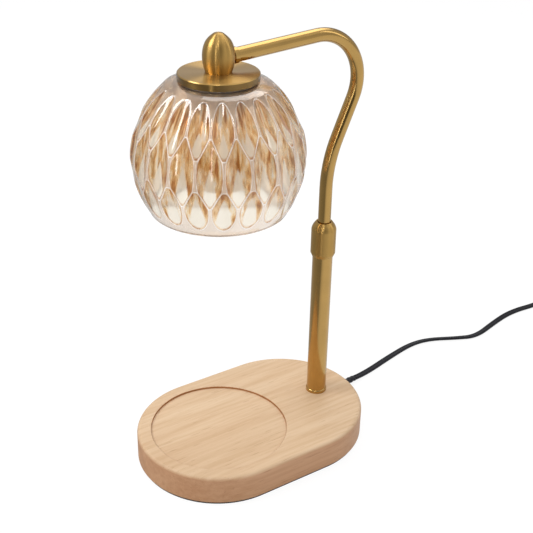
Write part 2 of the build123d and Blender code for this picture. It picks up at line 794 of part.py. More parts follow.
with BuildPart() as glass_shade:
    with BuildSketch(head_profile):
        with BuildLine():
            barrel = Spline(barrel_line(0, glass_shoulder))
            neck = Spline(
                barrel @ 1,
                (glass_neck_radius + glass_neck_run, glass_top - glass_neck_fall),
                (glass_neck_radius, glass_top),
                tangents=(barrel % 1, (-1, 0)),
            )
            lining = Spline(barrel_line(glass_wall, glass_shoulder - glass_crown_wall))
            ceiling = Spline(
                lining @ 1,
                (glass_neck_radius, glass_top - glass_crown_wall),
                tangents=(lining % 1, (-1, 0)),
            )
            Polyline(
                neck @ 1,
                (glass_hole / 2, glass_top),
                (glass_hole / 2, glass_top - glass_crown_wall),
                ceiling @ 1,
            )
            Line(barrel @ 0, lining @ 0)
        make_face()
    revolve(axis=Axis((head_x, 0, 0), (0, 0, 1)))
    fillet(
        glass_shade.edges().filter_by(GeomType.CIRCLE).group_by(Axis.Z)[0].sort_by(SortBy.RADIUS),
        glass_lip,
    )
    for cutter, turn in (
        (upper_cutter, facet_turn),
        (lower_cutter, facet_turn),
        (middle_cutter, facet_turn + facet_pitch / 2),
    ):
        about_head = [
            Location((head_x, 0, 0), (0, 0, turn + i * facet_pitch)) * Location((-head_x, 0, 0))
            for i in range(facet_count)
        ]
        with Locations(*about_head):
            add(cutter, mode=Mode.SUBTRACT)
glass_shade.part.label = "glass_shade"

# ---------- cord ----------
nose_x = exit_x + (gland_flange + gland_nose) * cos(radians(exit_angle))
nose_y = exit_y + (gland_flange + gland_nose) * sin(radians(exit_angle))
dimmer_x, dimmer_y = 384.0, 15.0  # where the cord enters the dimmer
dimmer_lead = 15.0  # straight run in line with it
floor_z = cord_diameter / 2
cord_points = [
    (nose_x, nose_y, exit_z),
    (nose_x + 10.2, nose_y + 2.1, exit_z),
    (nose_x + 23.0, nose_y + 4.6, 3.0),
    (nose_x + 40.0, nose_y + 8.4, floor_z),
    (172.0, 30.1, floor_z),
    (203.5, 36.5, floor_z),
    (225.0, 34.1, floor_z),
    (250.0, 21.0, floor_z),
    (268.2, 13.6, floor_z),
    (300.0, 22.3, floor_z),
    (322.0, 27.2, floor_z),
    (340.0, 27.9, floor_z),
    (357.0, 26.0, floor_z),
    (
        dimmer_x - dimmer_lead * cos(radians(dimmer_heading)),
        dimmer_y - dimmer_lead * sin(radians(dimmer_heading)),
        dimmer_cord_height,
    ),
    (dimmer_x, dimmer_y, dimmer_cord_height),
]


def corner_radii(points):
    """Radius at each inner point: 0.45 of the shorter run over the tangent of half the turn."""
    route = [Vector(*p) for p in points]
    runs = [b - a for a, b in zip(route, route[1:])]
    return [
        0.45 * min(a.length, b.length) / tan(radians(a.get_angle(b) / 2)) for a, b in zip(runs, runs[1:])
    ]


def corner_turns(points):
    """Degrees turned at each inner point."""
    route = [Vector(*p) for p in points]
    runs = [b - a for a, b in zip(route, route[1:])]
    return [a.get_angle(b) for a, b in zip(runs, runs[1:])]


print("cord radii", [round(r, 1) for r in corner_radii(cord_points)])
print("cord turns", [round(t, 1) for t in corner_turns(cord_points)])

with BuildPart() as cord_gland:
    with BuildSketch(exit_face.offset(-gland_inner_length)):
        RectangleRounded(groove_width - 4 * fit_gap, groove_depth - 4 * fit_gap, 0.8)
    extrude(amount=gland_inner_length)
    with BuildSketch(exit_face.offset(rest_gap)):
        RectangleRounded(gland_flange_width, gland_flange_height, 1.5)
    extrude(amount=gland_flange - rest_gap)
    with BuildSketch(exit_face.offset(-fit_gap)):
        RectangleRounded(groove_width - 1, groove_depth - 1, 0.8)
    extrude(amount=gland_flange)
    with BuildSketch(exit_face.offset(gland_flange)):
        Circle(gland_flange_height / 2 - gland_wall)
    with BuildSketch(exit_face.offset(gland_flange + gland_nose)):
        Circle(cord_diameter / 2 + gland_wall)
    loft()
cord_gland.part.label = "cord_gland"

with BuildPart() as cord_main:
    with BuildLine() as cord_path:
        FilletPolyline(*cord_points, radius=corner_radii(cord_points))
    with BuildSketch(heading_plane(nose_x, nose_y, exit_z, exit_angle)):
        Circle(cord_diameter / 2)
    sweep(path=cord_path.line)
cord_main.part.label = "cord_main"
cord_length = cord_path.wires()[0].length
section = pi * (cord_diameter / 2) ** 2
print(
    "cord_main length %.1f, volume %.0f, section x length %.0f"
    % (cord_length, cord_main.part.volume, section * cord_length)
)

# ---------- dimmer on the cord ----------
heading = Vector(cos(radians(dimmer_heading)), sin(radians(dimmer_heading)), 0)
aside = Vector(-heading.Y, heading.X, 0)
dimmer_center = Vector(dimmer_x, dimmer_y, 0) + heading * (dimmer_length / 2)
dimmer_floor = Plane(origin=dimmer_center, x_dir=heading, z_dir=(0, 0, 1))
wheel_center_y = dimmer_width / 2 - wheel_diameter / 2 + wheel_proud
wheel_bottom = dimmer_lower_height + wheel_gap
dimmer_height = dimmer_lower_height + dimmer_upper_height

with BuildPart() as dimmer_lower:
    with BuildSketch(dimmer_floor):
        RectangleRounded(dimmer_length, dimmer_width, dimmer_width / 4)
    extrude(amount=dimmer_lower_height)
    fillet(dimmer_lower.edges().group_by(Axis.Z)[0], dimmer_round / 2)
    with BuildSketch(above(dimmer_floor, dimmer_lower_height)):
        with Locations((0, wheel_center_y)):
            Circle(wheel_shaft)
    extrude(amount=wheel_thickness + wheel_gap)
dimmer_lower.part.label = "dimmer_lower"

with BuildPart() as dimmer_upper:
    with BuildSketch(above(dimmer_floor, dimmer_lower_height)):
        RectangleRounded(dimmer_length, dimmer_width, dimmer_width / 4)
    extrude(amount=dimmer_upper_height)
    fillet(dimmer_upper.edges().group_by(Axis.Z)[-1], dimmer_round)
    with BuildSketch(above(dimmer_floor, dimmer_lower_height)):
        with Locations((0, wheel_center_y)):
            Circle(wheel_diameter / 2 + wheel_gap)
    extrude(amount=wheel_thickness + 2 * wheel_gap, mode=Mode.SUBTRACT)
    with BuildSketch(above(dimmer_floor, dimmer_height - dimmer_screw_radius)):
        with GridLocations(dimmer_length - dimmer_width / 2, 0, 2, 1):
            Circle(dimmer_screw_head + fit_gap)
    extrude(amount=dimmer_screw_radius, mode=Mode.SUBTRACT)
dimmer_upper.part.label = "dimmer_upper"

with BuildPart() as dimmer_screws:
    with BuildSketch(above(dimmer_floor, dimmer_height - dimmer_screw_radius)):
        with GridLocations(dimmer_length - dimmer_width / 2, 0, 2, 1):
            Circle(dimmer_screw_head)
    extrude(amount=dimmer_screw_radius - 2 * fit_gap)
dimmer_screws.part.label = "dimmer_screws"

with BuildPart() as dimmer_wheel:
    with BuildSketch(above(dimmer_floor, wheel_bottom)):
        with Locations((0, wheel_center_y)):
            Circle(wheel_diameter / 2)
            Circle(wheel_shaft + fit_gap, mode=Mode.SUBTRACT)
            with PolarLocations(wheel_diameter / 2, wheel_notches):
                Circle(wheel_notch_radius, mode=Mode.SUBTRACT)
    extrude(amount=wheel_thickness)
dimmer_wheel.part.label = "dimmer_wheel"

# ---------- coil and plug ----------
dimmer_out = dimmer_center + heading * (dimmer_length / 2)
coil_entry = dimmer_out + heading * cord_to_coil
coil_center = coil_entry - aside * coil_radius
bundle_reach = sqrt((coil_radius + coil_width / 2) ** 2 - coil_radius**2) - cord_bite_depth
with BuildPart() as cord_mid:
    with BuildSketch(heading_plane(dimmer_out.X, dimmer_out.Y, dimmer_cord_height, dimmer_heading)):
        Circle(cord_diameter / 2)
    extrude(amount=cord_to_coil - bundle_reach)
cord_mid.part.label = "cord_mid"

coil_profile = Plane(origin=(coil_center.X, coil_center.Y, 0), x_dir=(1, 0, 0), z_dir=(0, -1, 0))
with BuildPart() as cord_coil:
    with BuildSketch(coil_profile):
        with Locations((coil_radius, coil_height / 2)):
            RectangleRounded(coil_width, coil_height, coil_round)
    revolve(axis=Axis((coil_center.X, coil_center.Y, 0), (0, 0, 1)))
cord_coil.part.label = "cord_coil"

tail_y = coil_center.Y - coil_radius
plug_z = plug_height / 2
plug_start_x = coil_center.X - coil_to_plug
neck_back = heading_plane(plug_start_x, tail_y, plug_z, 180)
with BuildPart() as cord_tail:
    with BuildSketch(neck_back):
        Circle(cord_diameter / 2)
    extrude(amount=bundle_reach - coil_to_plug)
cord_tail.part.label = "cord_tail"

with BuildPart() as plug_body:
    with BuildSketch(neck_back):
        RectangleRounded(plug_neck_width, plug_neck_height, plug_round)
    with BuildSketch(neck_back.offset(plug_neck_length)):
        RectangleRounded(plug_neck_width + plug_round, plug_neck_height + plug_round, plug_round)
    loft()
    with BuildSketch(neck_back.offset(plug_neck_length)):
        RectangleRounded(plug_width * 0.7, plug_height, plug_round)
    with BuildSketch(neck_back.offset(plug_length)):
        RectangleRounded(plug_width, plug_height, plug_round)
    loft()
plug_body.part.label = "plug_body"

with BuildPart() as plug_blades:
    with BuildSketch(neck_back.offset(plug_length)):
        with GridLocations(blade_spacing, 0, 2, 1):
            Rectangle(blade_thickness, blade_width)
    extrude(amount=blade_length)
    fillet(plug_blades.edges().group_by(Axis.X)[0].filter_by(Axis.Z), blade_thickness / 4)
plug_blades.part.label = "plug_blades"

finished = [
    wood_base, base_pad, counterweight, weight_screws, column_foot, column_tube, column_nipple,
    column_washer, column_nut, collet, collar_nut, arm_tube, arm_guide, arm_end_plug, egg_joint,
    arm_ferrule, cap_disc, head_nipple, head_nut, shade_gasket, socket_cup, shade_ring,
    holder_bracket, lampholder, holder_screws, bulb_base, bulb_pins, bulb_reflector, bulb_lens,
    glass_shade, cord_gland, cord_main, dimmer_lower, dimmer_upper, dimmer_screws, dimmer_wheel,
    cord_mid, cord_coil, cord_tail, plug_body, plug_blades,
]
for piece in finished:
    export_step(piece.part, f"parts/{piece.part.label}.step")
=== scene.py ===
import bpy
import math
from mathutils import Matrix, Vector


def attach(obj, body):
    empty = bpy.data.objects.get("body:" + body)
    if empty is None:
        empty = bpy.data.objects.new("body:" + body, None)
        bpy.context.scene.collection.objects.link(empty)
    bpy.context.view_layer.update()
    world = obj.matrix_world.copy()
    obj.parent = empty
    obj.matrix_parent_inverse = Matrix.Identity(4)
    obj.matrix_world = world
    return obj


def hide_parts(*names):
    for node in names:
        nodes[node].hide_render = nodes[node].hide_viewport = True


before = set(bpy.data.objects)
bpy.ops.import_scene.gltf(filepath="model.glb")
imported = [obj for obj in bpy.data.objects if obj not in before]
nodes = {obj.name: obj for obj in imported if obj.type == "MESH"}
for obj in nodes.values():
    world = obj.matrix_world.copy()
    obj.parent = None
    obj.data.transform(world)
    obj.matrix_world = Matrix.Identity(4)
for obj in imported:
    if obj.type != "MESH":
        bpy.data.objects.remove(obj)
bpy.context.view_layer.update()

MM = 0.001
UP = Vector((0, 0, 1))
WHITE = (1.0, 1.0, 1.0)

# ---------- places, in millimetres ----------
HEAD_X = -30.0  # the shade's axis
CANDLE_X = -31.0  # the recess's axis
EXIT = (94.71, 12.96, 5.0)  # where the strain relief leaves the base
EXIT_ANGLE = math.radians(11.5)
NOSE_REACH = 11.2
NOSE = (  # where the flex starts, inside the strain relief
    EXIT[0] + NOSE_REACH * math.cos(EXIT_ANGLE),
    EXIT[1] + NOSE_REACH * math.sin(EXIT_ANGLE),
    EXIT[2],
)
FLOOR_Z = 1.9  # the middle of a flex that lies on the floor
FLEX_WIDTH, FLEX_THICKNESS = 5.4, 2.8
DIMMER_IN = (384.0, 15.0, 4.0)
HEADING = math.radians(-35.0)  # which way the dimmer points
DIMMER_LENGTH = 62.0
CORD_TO_COIL = 38.0
COIL_RADIUS = 31.0  # the middle of the bundle of turns
COIL_PITCH = 2.92  # the rise from one turn to the next
PLUG_BESIDE, PLUG_HEIGHT = 26.0, 6.0


def ahead(point, distance, side=0.0, z=None):
    """A point further on along the dimmer's heading, and aside of it."""
    return (
        point[0] + distance * math.cos(HEADING) - side * math.sin(HEADING),
        point[1] + distance * math.sin(HEADING) + side * math.cos(HEADING),
        point[2] if z is None else z,
    )


DIMMER_OUT = ahead(DIMMER_IN, DIMMER_LENGTH)
COIL_ENTRY = ahead(DIMMER_OUT, CORD_TO_COIL)
COIL_CENTER = ahead(COIL_ENTRY, 0.0, -COIL_RADIUS)
PLUG_NECK = (COIL_CENTER[0] - PLUG_BESIDE, COIL_CENTER[1] - COIL_RADIUS, PLUG_HEIGHT)


# ---------- mesh helpers ----------
def link(obj):
    """Puts an object into the scene."""
    bpy.context.scene.collection.objects.link(obj)
    return obj


def mesh_piece(name, points, faces, body, material, smooth=True):
    """A mesh from points in millimetres, riding on a body."""
    mesh = bpy.data.meshes.new(name)
    mesh.from_pydata([tuple(c * MM for c in p) for p in points], [], faces)
    mesh.polygons.foreach_set("use_smooth", [smooth] * len(mesh.polygons))
    mesh.materials.append(material)
    mesh.validate()
    obj = link(bpy.data.objects.new(name, mesh))
    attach(obj, body)
    return obj


def rings_to_mesh(rings, closed=False):
    """Points and faces of a skin over rings of as many points each, with a cap on each end.

    A closed skin joins its last ring to its first instead.
    """
    count = len(rings[0])
    points = [p for ring in rings for p in ring]
    faces = []
    last = len(rings) if closed else len(rings) - 1
    for i in range(last):
        j = (i + 1) % len(rings)
        for k in range(count):
            n = (k + 1) % count
            faces.append((i * count + k, i * count + n, j * count + n, j * count + k))
    if not closed:
        faces.append(tuple(range(count))[::-1])
        faces.append(tuple((len(rings) - 1) * count + k for k in range(count)))
    return points, faces


LEAST_STEP = 0.2  # points of a path that lie closer together than this are dropped


def read_spline(name, controls):
    """Points along the smooth NURBS line that the route's points control, in millimetres."""
    curve = bpy.data.curves.new(name, "CURVE")
    curve.dimensions = "3D"
    curve.resolution_u = 10
    spline = curve.splines.new("NURBS")
    spline.points.add(len(controls) - 1)
    for point, place in zip(spline.points, controls):
        point.co = (*(c * MM for c in place), 1.0)
    spline.order_u = 3
    spline.use_endpoint_u = True
    holder = link(bpy.data.objects.new(name, curve))
    bpy.context.view_layer.update()
    line = bpy.data.meshes.new_from_object(holder)
    path = [v.co / MM for v in line.vertices]
    bpy.data.objects.remove(holder)
    bpy.data.curves.remove(curve)
    bpy.data.meshes.remove(line)
    kept = [path[0]]
    for p in path[1:]:
        if (p - kept[-1]).length > LEAST_STEP:
            kept.append(p)
    return kept


FLEX_POINTS = 28  # round the outline
GROOVE_DEPTH, GROOVE_REACH = 0.42, 0.75  # millimetres, and a share of the cores' offset


def flex_section(width, thickness):
    """The outline of a twin flex: two round cores and a shallow groove between them."""
    core = thickness / 2
    offset = width / 2 - core
    outline = []
    for k in range(FLEX_POINTS):
        a = 2 * math.pi * k / FLEX_POINTS
        x = width / 2 * math.copysign(abs(math.cos(a)) ** 0.8, math.cos(a))
        beyond = max(0.0, abs(x) - offset)
        top = math.sqrt(max(0.0, core * core - beyond * beyond))
        dip = GROOVE_DEPTH * max(0.0, 1 - abs(x) / (offset * GROOVE_REACH))
        at_side = k % (FLEX_POINTS // 2) == 0
        outline.append((x, 0.0 if at_side else math.copysign(top - dip, math.sin(a))))
    return outline


def rounded_rectangle(width, height, radius, corner_steps=5):
    """The outline of a rectangle with round corners."""
    outline = []
    for quadrant, (sx, sy) in enumerate(((1, 1), (-1, 1), (-1, -1), (1, -1))):
        for k in range(corner_steps + 1):
            a = math.pi / 2 * (quadrant + k / corner_steps)
            outline.append(
                (
                    sx * (width / 2 - radius) + radius * math.cos(a),
                    sy * (height / 2 - radius) + radius * math.sin(a),
                )
            )
    return outline


def frames_along(path):
    """A level side and an upward normal at each point of a path."""
    result = []
    for i in range(len(path)):
        tangent = (path[min(i + 1, len(path) - 1)] - path[max(i - 1, 0)]).normalized()
        side = UP.cross(tangent).normalized()
        result.append((side, tangent.cross(side)))
    return result


def path_lengths(path):
    """How far along a path of vectors each of its points lies."""
    lengths = [0.0]
    for a, b in zip(path, path[1:]):
        lengths.append(lengths[-1] + (b - a).length)
    return lengths


def tube_rings(path, section, twist):
    """A ring of the section at each point of the path, and the path's length."""
    lengths = path_lengths(path)
    rings = []
    for p, (side, up), far in zip(path, frames_along(path), lengths):
        turn = twist(far / lengths[-1])
        ring = []
        for x, y in section:
            s = x * math.cos(turn) - y * math.sin(turn)
            u = x * math.sin(turn) + y * math.cos(turn)
            ring.append(tuple(p + side * s + up * u))
        rings.append(ring)
    return rings, lengths[-1]


# ---------- node helpers ----------
# An owner is a material or a world. A value is a constant, or a source, which is a node's output.
def put(socket, value):
    """Sets a socket to a constant, or wires it to a source."""
    if isinstance(value, bpy.types.NodeSocket):
        socket.id_data.links.new(value, socket)
    else:
        socket.default_value = value


def give(made, **values):
    """Gives a node's sockets their values, by name."""
    for name, value in values.items():
        put(made.inputs[name.replace("_", " ")], value)
    return made


def node(owner, kind, **values):
    """A new node with its values."""
    return give(owner.node_tree.nodes.new(kind), **values)


def new_material(name):
    """A node material and its shader."""
    material = bpy.data.materials.new(name)
    material.use_nodes = True
    return material, material.node_tree.nodes["Principled BSDF"]


def maths(owner, operation, *values, clamp=False):
    """The result of a maths node."""
    made = node(owner, "ShaderNodeMath")
    made.operation = operation
    made.use_clamp = clamp
    for socket, value in zip(made.inputs, values):
        put(socket, value)
    return made.outputs["Value"]


def vector_maths(owner, operation, *values, result="Vector"):
    """The result of a vector maths node."""
    made = node(owner, "ShaderNodeVectorMath")
    made.operation = operation
    for socket, value in zip(made.inputs, values):
        put(socket, value)
    return made.outputs[result]


def stretched(material, scale, detail=4.0, roughness=0.5, size=1.0, distortion=0.0):
    """Noise in object space, scaled unevenly along the axes."""
    place = node(material, "ShaderNodeTexCoord").outputs["Object"]
    mapping = node(material, "ShaderNodeMapping", Vector=place, Scale=scale)
    noise = node(
        material,
        "ShaderNodeTexNoise",
        Vector=mapping.outputs["Vector"],
        Scale=size,
        Detail=detail,
        Roughness=roughness,
        Distortion=distortion,
    )
    return noise.outputs["Fac"]


def even(material, size):
    """Noise in object space, alike along all axes."""
    return stretched(material, (1, 1, 1), size=size)


def ramp(owner, source, stops):
    """A colour ramp over a source; a stop is a place and a colour, or a grey as one number."""
    made = node(owner, "ShaderNodeValToRGB", Fac=source)
    elements = made.color_ramp.elements
    while len(elements) < len(stops):
        elements.new(0.5)
    for element, (place, colour) in zip(elements, stops):
        element.position = place
        element.color = (*(colour if isinstance(colour, tuple) else (colour,) * 3), 1.0)
    return made.outputs["Color"]


def spread(owner, source, low, high, start=0.0, end=1.0):
    """The source from start to end, mapped to the range from low to high."""
    made = node(owner, "ShaderNodeMapRange", Value=source)
    give(made, From_Min=start, From_Max=end, To_Min=low, To_Max=high)
    return made.outputs["Result"]


def rise(owner, source, start, end):
    """0 where the source is below start, and 1 where it is above end."""
    return spread(owner, source, 0.0, 1.0, start, end)


def blend_colours(owner, factor, first, second, mode="MIX"):
    """Two colours blended by a factor, each of the three a constant or a source."""
    made = node(owner, "ShaderNodeMix")
    made.data_type = "RGBA"
    made.blend_type = mode
    put(made.inputs[0], factor)
    for socket, colour in zip(made.inputs[6:8], (first, second)):
        put(socket, (*colour, 1.0) if isinstance(colour, tuple) else colour)
    return made.outputs[2]


def mixed(owner, factor, first, second):
    """A mix of two shader nodes, by a factor."""
    made = node(owner, "ShaderNodeMixShader", Fac=factor)
    put(made.inputs[1], first.outputs[0])
    put(made.inputs[2], second.outputs[0])
    return made


def bumped(material, height, strength, distance):
    """A normal that follows a height."""
    made = node(material, "ShaderNodeBump", Height=height, Strength=strength, Distance=distance)
    return made.outputs["Normal"]


def facing_up(material):
    """How far the surface faces up, from -1 to 1."""
    geometry = node(material, "ShaderNodeNewGeometry")
    return node(material, "ShaderNodeSeparateXYZ", Vector=geometry.outputs["Normal"]).outputs["Z"]


def attribute(material, name):
    """A number that the mesh has at each of its points."""
    made = node(material, "ShaderNodeAttribute")
    made.attribute_name = name
    return made.outputs["Fac"]


# ---------- finishes ----------
PLAIN_DEPTH, PORE_DEPTH, DIMPLE_DEPTH = 0.0002, 0.0001, 0.0006  # metres
CLOUD = 60.0  # the scale of slow changes of tone
STREAK_TURN = 0.25  # a quarter turn, so that a light runs up and down a turned piece


def plain(name, dark, light, size, roughness, metallic=0.0, bump=0.05, gloss=0.5):
    """A finish with a slight change of colour, of gloss and of height."""
    material, shader = new_material(name)
    noise = even(material, size)
    give(
        shader,
        Base_Color=ramp(material, noise, [(0.35, dark), (0.65, light)]),
        Metallic=metallic,
        Roughness=spread(material, noise, *roughness, 0.3, 0.7),
        Specular_IOR_Level=gloss,
        Normal=bumped(material, noise, bump, PLAIN_DEPTH),
    )
    return material


def brushed_brass(name, tone, grain, roughness, turned=0.0, coat=0.3, side=1.0):
    """Lacquered satin brass, with painted shade that darkens faces turned sideways or down where
    side is under 1.

    Turned pieces have fine grooves round them, which stretch the lights.
    """
    material, shader = new_material(name)
    if turned:
        around = node(material, "ShaderNodeTangent")
        around.direction_type = "RADIAL"
        around.axis = "Z"
        give(
            shader,
            Anisotropic=turned,
            Anisotropic_Rotation=STREAK_TURN,
            Tangent=around.outputs["Tangent"],
        )
    dark = tuple(c * 0.93 for c in tone)
    light = tuple(min(1.0, c * 1.05) for c in tone)
    colour = ramp(material, even(material, CLOUD), [(0.3, dark), (0.7, light)])
    # painted shade: faces turned sideways or down are multiplied by side, so a rim looks shaded
    shade = ramp(material, facing_up(material), [(0.2, side), (0.7, 1.0)])
    lines = stretched(material, grain, detail=3.0, roughness=0.6)
    give(
        shader,
        Base_Color=blend_colours(material, 1.0, colour, shade, "MULTIPLY"),
        Metallic=1.0,
        Roughness=spread(material, lines, *roughness, 0.3, 0.7),
        Coat_Weight=coat,
        Coat_Roughness=0.12,
    )
    return material


RECESS_WALL = (0.056, 0.057)  # metres from the recess's axis; its upright face lies within the first, where the painted shade is darkest


def make_wood():
    """Pale wood, grained along the base, with painted shade: faces turned sideways are darker and
    warmer, the recess's upright face darkest and warmest.
    """
    material, shader = new_material("pale_wood")
    bands = stretched(material, (3.0, 30.0, 30.0), detail=3.0, size=1.6, distortion=0.6)
    grain = stretched(material, (9.0, 190.0, 190.0), detail=5.0, roughness=0.65, size=1.5)
    pores = stretched(material, (60.0, 1100.0, 1100.0), detail=2.0)
    colour = ramp(
        material,
        bands,
        [(0.3, (0.705, 0.48, 0.30)), (0.5, (0.76, 0.54, 0.352)), (0.72, (0.80, 0.59, 0.40))],
    )
    lines = ramp(material, grain, [(0.32, (0.84, 0.77, 0.68)), (0.6, WHITE)])
    specks = ramp(material, pores, [(0.27, (0.55, 0.40, 0.28)), (0.36, WHITE)])
    colour = blend_colours(material, 0.75, colour, lines, "MULTIPLY")
    colour = blend_colours(material, 0.5, colour, specks, "MULTIPLY")
    # painted shade: the recess's upright face, within RECESS_WALL of its axis, gets a darker,
    # warmer tint than the outer faces
    place = node(material, "ShaderNodeTexCoord").outputs["Object"]
    level = node(material, "ShaderNodeMapping", Vector=place)
    give(level, Location=(-CANDLE_X * MM, 0, 0), Scale=(1, 1, 0))
    reach = vector_maths(material, "LENGTH", level.outputs["Vector"], result="Value")
    outside = rise(material, reach, *RECESS_WALL)
    painted_wall_shade = blend_colours(material, outside, (0.56, 0.34, 0.20), (0.72, 0.565, 0.47))
    # painted shade: faces that turn from up towards sideways take that tint; upward faces are
    # dimmed only a little
    upward = rise(material, facing_up(material), 0.1, 0.8)
    painted_side_shade = blend_colours(material, upward, painted_wall_shade, (0.885, 0.888, 0.868))
    give(
        shader,
        Base_Color=blend_colours(material, 1.0, colour, painted_side_shade, "MULTIPLY"),
        Roughness=spread(material, grain, 0.42, 0.58),
        Specular_IOR_Level=0.35,
        Normal=bumped(material, pores, 0.12, PORE_DEPTH),
    )
    return material


STREAK_RING = 0.28  # the streaks are drawn on a wide ring, which makes them long and narrow
STREAK_SCALE = 72.0


def meridian_streaks(material, place):
    """Noise in long streaks that run up and down the shade, from its object-space place."""
    outward = maths(material, "SUBTRACT", place.outputs["X"], HEAD_X * MM)
    level = node(material, "ShaderNodeCombineXYZ", X=outward, Y=place.outputs["Y"])
    height = node(material, "ShaderNodeCombineXYZ", Z=place.outputs["Z"])
    around = vector_maths(material, "NORMALIZE", level.outputs["Vector"])
    ring = vector_maths(
        material, "MULTIPLY_ADD", around, (STREAK_RING,) * 3, height.outputs["Vector"]
    )
    noise = node(material, "ShaderNodeTexNoise", Vector=ring, Scale=STREAK_SCALE)
    give(noise, Detail=3.0, Roughness=0.6)
    return noise.outputs["Fac"]


CROWN = (0.293, 0.306)  # heights in metres between which the facets give way to the plain crown


def make_glass():
    """Amber lustre glass with painted light: pale along the ridges with a painted white highlight
    line on each, a painted dark amber band at each hollow's edge, and painted streaks and pale
    painted flames of refracted light in the pressed hollows.
    """
    material, shader = new_material("amber_glass")
    hollow = attribute(material, "hollow")
    place = node(material, "ShaderNodeTexCoord").outputs["Object"]
    parts = node(material, "ShaderNodeSeparateXYZ", Vector=place)
    crown = rise(material, parts.outputs["Z"], *CROWN)
    bank = rise(material, hollow, 0.14, 0.19)
    sunk = rise(material, hollow, 0.25, 0.42)
    streaks = meridian_streaks(material, parts)
    # painted refraction: streaks from dark to pale amber inside the hollows, the palest a painted
    # reflection
    amber = ramp(
        material,
        streaks,
        [
            (0.38, (0.36, 0.10, 0.01)),
            (0.45, (0.70, 0.34, 0.09)),
            (0.53, (0.89, 0.60, 0.29)),
            (0.60, (0.95, 0.78, 0.54)),
            (0.66, (1.0, 0.95, 0.87)),
        ],
    )
    # painted shade: the dark amber band along each hollow's edge
    edge = ramp(material, streaks, [(0.42, (0.46, 0.15, 0.025)), (0.60, (0.88, 0.59, 0.32))])
    # painted light: the pale flame in each hollow, where the attribute amber is low
    inside = blend_colours(material, attribute(material, "amber"), (0.97, 0.90, 0.76), amber)
    ridge = blend_colours(material, crown, (0.90, 0.755, 0.635), (0.76, 0.585, 0.45))
    # painted highlight: a near-white line along each ridge, broken up by the streaks, and less
    # transmissive there
    line = ramp(material, hollow, [(0.03, 0.0), (0.08, 1.0), (0.12, 1.0), (0.17, 0.0)])
    painted_highlight_breaks = ramp(material, streaks, [(0.40, 0.35), (0.55, 1.0)])
    line = blend_colours(material, 1.0, line, painted_highlight_breaks, "MULTIPLY")
    lit = blend_colours(material, line, ridge, (1.0, 0.97, 0.94))
    outer = blend_colours(material, bank, lit, edge)
    clear = ramp(material, crown, [(0.0, 0.66), (1.0, 0.88)])
    give(
        shader,
        Base_Color=blend_colours(material, sunk, outer, inside),
        Roughness=spread(material, sunk, 0.06, 0.0),
        IOR=1.42,
        Transmission_Weight=blend_colours(material, line, clear, (0.22, 0.22, 0.22)),
        Coat_Weight=0.8,
        Coat_Roughness=0.02,
        Coat_IOR=1.7,
    )
    return material


def make_lining():
    """The glass shade's inner side, a little soft."""
    material, shader = new_material("amber_glass_lining")
    cloud = even(material, CLOUD)
    give(
        shader,
        Base_Color=ramp(material, cloud, [(0.3, (0.93, 0.84, 0.73)), (0.7, (0.96, 0.90, 0.82))]),
        Roughness=spread(material, cloud, 0.32, 0.38),
        IOR=1.12,
        Transmission_Weight=1.0,
    )
    return material


def make_reflector():
    """The bulb's frosted mirror."""
    material, shader = new_material("bulb_mirror")
    frost = even(material, 500.0)
    give(
        shader,
        Base_Color=ramp(material, frost, [(0.3, (0.74, 0.66, 0.58)), (0.7, (0.84, 0.77, 0.69))]),
        Metallic=1.0,
        Roughness=spread(material, frost, 0.3, 0.42),
    )
    return material


def make_lens():
    """The bulb's dimpled front glass."""
    material, shader = new_material("bulb_lens_glass")
    place = node(material, "ShaderNodeTexCoord").outputs["Object"]
    dimples = node(material, "ShaderNodeTexVoronoi", Vector=place, Scale=420.0)
    height = dimples.outputs["Distance"]
    give(
        shader,
        Base_Color=ramp(material, height, [(0.0, (0.93, 0.93, 0.92)), (1.0, WHITE)]),
        Roughness=spread(material, height, 0.1, 0.25),
        IOR=1.45,
        Transmission_Weight=1.0,
        Normal=bumped(material, height, 0.5, DIMPLE_DEPTH),
    )
    return material


BRASS = (0.505, 0.312, 0.096)
DISC_BRASS = (0.535, 0.33, 0.102)
UPRIGHT_GRAIN, ROUND_GRAIN = (900.0, 900.0, 8.0), (420.0, 420.0, 10.0)
ARM_GRAIN, DISC_GRAIN = (30.0, 30.0, 30.0), (60.0, 60.0, 60.0)
wood = make_wood()
shade_glass = make_glass()
lining_glass = make_lining()
brass_upright = brushed_brass("brass_upright", BRASS, UPRIGHT_GRAIN, (0.15, 0.20))
brass_arm = brushed_brass("brass_arm", BRASS, ARM_GRAIN, (0.14, 0.17), coat=0.2)
brass_round = brushed_brass("brass_round", BRASS, ROUND_GRAIN, (0.30, 0.36), turned=0.95, coat=0.0)
# painted shade: side=0.5 darkens the rims of the cap disc and the shade ring
brass_disc = brushed_brass(
    "brass_disc", DISC_BRASS, DISC_GRAIN, (0.30, 0.34), turned=0.95, coat=0.25, side=0.5
)
steel = plain(
    "satin_steel", (0.52, 0.52, 0.53), (0.66, 0.66, 0.67), 400.0, (0.25, 0.4), metallic=1.0
)
cup_steel = plain(
    "cup_steel", (0.55, 0.52, 0.50), (0.70, 0.68, 0.66), 300.0, (0.2, 0.35), metallic=1.0
)
cast_iron = plain(
    "cast_iron", (0.10, 0.10, 0.10), (0.16, 0.16, 0.16), 700.0, (0.5, 0.7), metallic=0.8, bump=0.4
)
rubber_pad = plain("pad_rubber", (0.03, 0.03, 0.032), (0.05, 0.05, 0.05), 900.0, (0.7, 0.85))
nylon = plain("white_nylon", (0.74, 0.72, 0.68), (0.80, 0.79, 0.75), 300.0, (0.4, 0.5))
gasket_rubber = plain("gasket_rubber", (0.70, 0.66, 0.60), (0.76, 0.72, 0.66), 300.0, (0.5, 0.6))
ceramic = plain("white_ceramic", (0.80, 0.79, 0.76), (0.86, 0.85, 0.82), 250.0, (0.3, 0.4))
